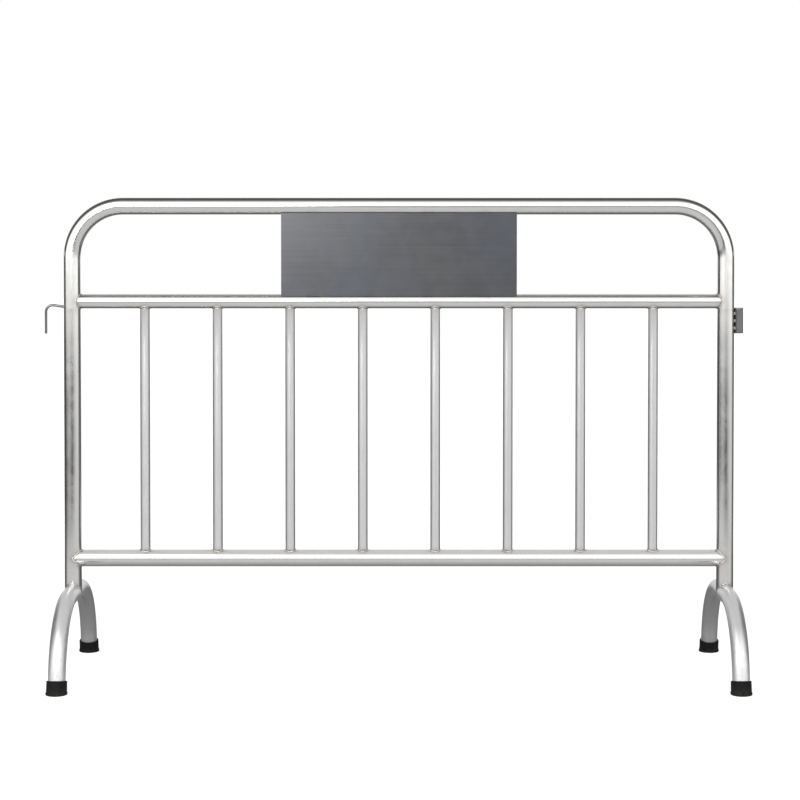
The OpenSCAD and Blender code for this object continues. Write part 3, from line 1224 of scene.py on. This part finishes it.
def blendShaders(tree, factor, first, second):
    return shaderNode(tree, "MixShader", {0: factor, 1: first, 2: second})


def seenByCamera(tree):
    return add(tree, "ShaderNodeLightPath").outputs["Is Camera Ray"]


# the camera sees a pale floor; the tubes mirror toned bands close by and the room's tones farther off
def makeFloor(v):
    s = v["halfSize"]
    floor = newObject("floor", [(-s, -s, 0), (s, -s, 0), (s, s, 0), (-s, s, 0)], (), [(0, 1, 2, 3)])
    material, tree, shader = newMaterial("paleFloor")
    shader.inputs["Base Color"].default_value = v["colour"]
    shader.inputs["Roughness"].default_value = 0.9
    shader.inputs["Specular IOR Level"].default_value = 0.1
    glow = shaderNode(tree, "Emission", {"Strength": v["lift"]})
    lit = shaderNode(tree, "AddShader", {0: shader.outputs[0], 1: glow})
    spot = objectPlace(tree)
    y = separate(tree, spot)[1]
    level = remap(tree, y, *v["nearEdge"], v["near"], v["under"])
    level = product(tree, level, remap(tree, y, *v["underEdge"], 1.0, v["underFade"]))
    level = calc(tree, "ADD", level, remap(tree, y, *v["beyondEdge"], 0.0, v["beyond"]))
    mirrored = shaderNode(tree, "Emission", {"Strength": level})
    gone = shaderNode(tree, "BsdfTransparent")
    far = blendShaders(tree, remap(tree, vector(tree, "LENGTH", spot), *v["edge"]), mirrored, gone)
    showShader(tree, blendShaders(tree, seenByCamera(tree), far, lit))
    floor.data.materials.append(material)


skyValues = {
    "ceiling": 1.8,
    "wall": 1.7,
    "near": 0.8,
    "behind": 0.12,  # what the tubes' far edges mirror
    "back": 1.1,  # and what lights the other side
    "backdrop": 1.0,
    "tint": (1.0, 0.995, 0.985, 1),
    # where one level gives way to the next: how far up or back a direction points, or its angle
    "ceilingEdge": (0.04, 0.24),
    "belowEdge": (-0.026, -0.048),
    "nearEdge": (-0.15, -0.2),
    "backEdge": (0.7, 0.84),
    "nearBackEdge": (0.0, 0.3),
    "behindEdge": (0.56, 1.55),
    # brightness of the room below eye level, by direction: degrees from the front, right positive
    "room": [
        (-180, 0.5), (-150, 0.45), (-138, 0.06), (-95, 0.1), (-78, 0.15), (-62, 0.3), (-40, 0.38),
        (-20, 0.22), (-6, 0.04), (10, 0.05), (25, 0.34), (40, 0.6), (66, 0.84), (88, 0.8),
        (103, 0.3), (120, 0.1), (138, 0.06), (150, 0.45), (180, 0.5),
    ],
}


def makeSky(v):
    world = bpy.data.worlds.new("studio")
    world.use_nodes = True
    bpy.context.scene.world = world
    tree = world.node_tree
    tree.nodes.clear()
    way = add(tree, "ShaderNodeTexCoord").outputs["Generated"]
    x, y, z = separate(tree, way)
    ahead = calc(tree, "MULTIPLY", y, -1.0)
    turn = calc(tree, "ARCTAN2", x, ahead)
    ramp = add(tree, "ShaderNodeValToRGB", {0: remap(tree, turn, -math.pi, math.pi)})
    places = [(degrees + 180) / 360 for degrees, level in v["room"]]
    useStops(ramp, places, [(level, level, level, 1) for degrees, level in v["room"]])
    ceiling = remap(tree, z, *v["ceilingEdge"], kind="SMOOTHSTEP")
    overhead = calc(tree, "ARCTAN2", calc(tree, "ABSOLUTE", z), ahead)
    behind = remap(tree, overhead, *v["behindEdge"], kind="SMOOTHSTEP")
    below = remap(tree, z, *v["belowEdge"], kind="SMOOTHSTEP")
    level = blendNumbers(tree, ceiling, v["wall"], v["ceiling"])
    level = blendNumbers(tree, behind, level, v["behind"])
    level = blendNumbers(tree, remap(tree, y, *v["backEdge"]), level, v["back"])
    nearLevel = remap(tree, y, *v["nearBackEdge"], v["near"], v["behind"])
    lower = blendNumbers(tree, remap(tree, z, *v["nearEdge"]), ramp.outputs[0], nearLevel)
    level = blendNumbers(tree, below, level, lower)
    room = shaderNode(tree, "Background", {"Color": v["tint"], "Strength": level})
    plain = shaderNode(tree, "Background", {"Color": (1, 1, 1, 1), "Strength": v["backdrop"]})
    add(tree, "ShaderNodeOutputWorld", {"Surface": blendShaders(tree, seenByCamera(tree), room, plain)})


# a card in front, on the left, that only reflections see: it brightens the sign's left
cardValues = {"across": (-1.5, -0.12), "up": (1.03, 1.5), "y": -1.7, "strength": 12.0, "fade": 0.08}
# and two level cards, over the upper rail and just under it, that the rails and feet below mirror
overValues = [
    {"name": "upperCard", "along": (0.03, 1.3), "halfWidth": 1.3, "z": 0.95, "strength": 0.7},
    {"name": "lowerCard", "along": (-0.3, 1.0), "halfWidth": 1.3, "z": 0.8165, "strength": 0.85},
]


def makeCard(name, corners, strength, soft):  # it glows on one side, and only in reflections
    card = newObject(name, corners, (), [(0, 1, 2, 3)])
    material, tree, shader = newMaterial(name)
    tree.nodes.remove(shader)
    places = separate(tree, objectPlace(tree))
    level = strength
    for axis, start, end in soft:
        level = product(tree, remap(tree, places[axis], start, end), level)
    glow = shaderNode(tree, "Emission", {"Strength": level})
    clear = shaderNode(tree, "BsdfTransparent")
    back = add(tree, "ShaderNodeNewGeometry").outputs["Backfacing"]
    showShader(tree, blendShaders(tree, back, glow, clear))
    card.data.materials.append(material)
    for ray in ("camera", "diffuse", "shadow", "transmission"):
        setattr(card, "visible_" + ray, False)


def makeCards(side, over):
    (x0, x1), (z0, z1), y = side["across"], side["up"], side["y"]
    corners = [(x0, y, z0), (x0, y, z1), (x1, y, z1), (x1, y, z0)]
    fade = side["fade"]
    soft = ((0, x1, x1 - 3 * fade), (2, z0, z0 + fade), (2, z1, z1 - fade))
    makeCard("sideCard", corners, side["strength"], soft)
    for v in over:
        (y0, y1), x, z = v["along"], v["halfWidth"], v["z"]
        makeCard(v["name"], [(-x, y0, z), (-x, y1, z), (x, y1, z), (x, y0, z)], v["strength"], ())


lampValues = [
    {"name": "keyLamp", "place": (-1.9, -2.6, 3.2), "aim": (0, 0, 0.5), "size": 2.2, "power": 16.0},
    {"name": "fillLamp", "place": (2.4, -2.2, 2.6), "aim": (0, 0, 0.5), "size": 2.4, "power": 7.0},
]


def makeLamps(lamps):
    for v in lamps:
        data = bpy.data.lights.new(v["name"], "AREA")
        data.shape = "DISK"
        data.size = v["size"]
        data.energy = v["power"]
        lamp = show(bpy.data.objects.new(v["name"], data))
        lamp.location = v["place"]
        aim = Vector(v["aim"]) - Vector(v["place"])
        lamp.rotation_euler = aim.to_track_quat("-Z", "Y").to_euler()


makeFloor(floorValues)
makeSky(skyValues)
makeCards(cardValues, overValues)
makeLamps(lampValues)
print("floor and light made")
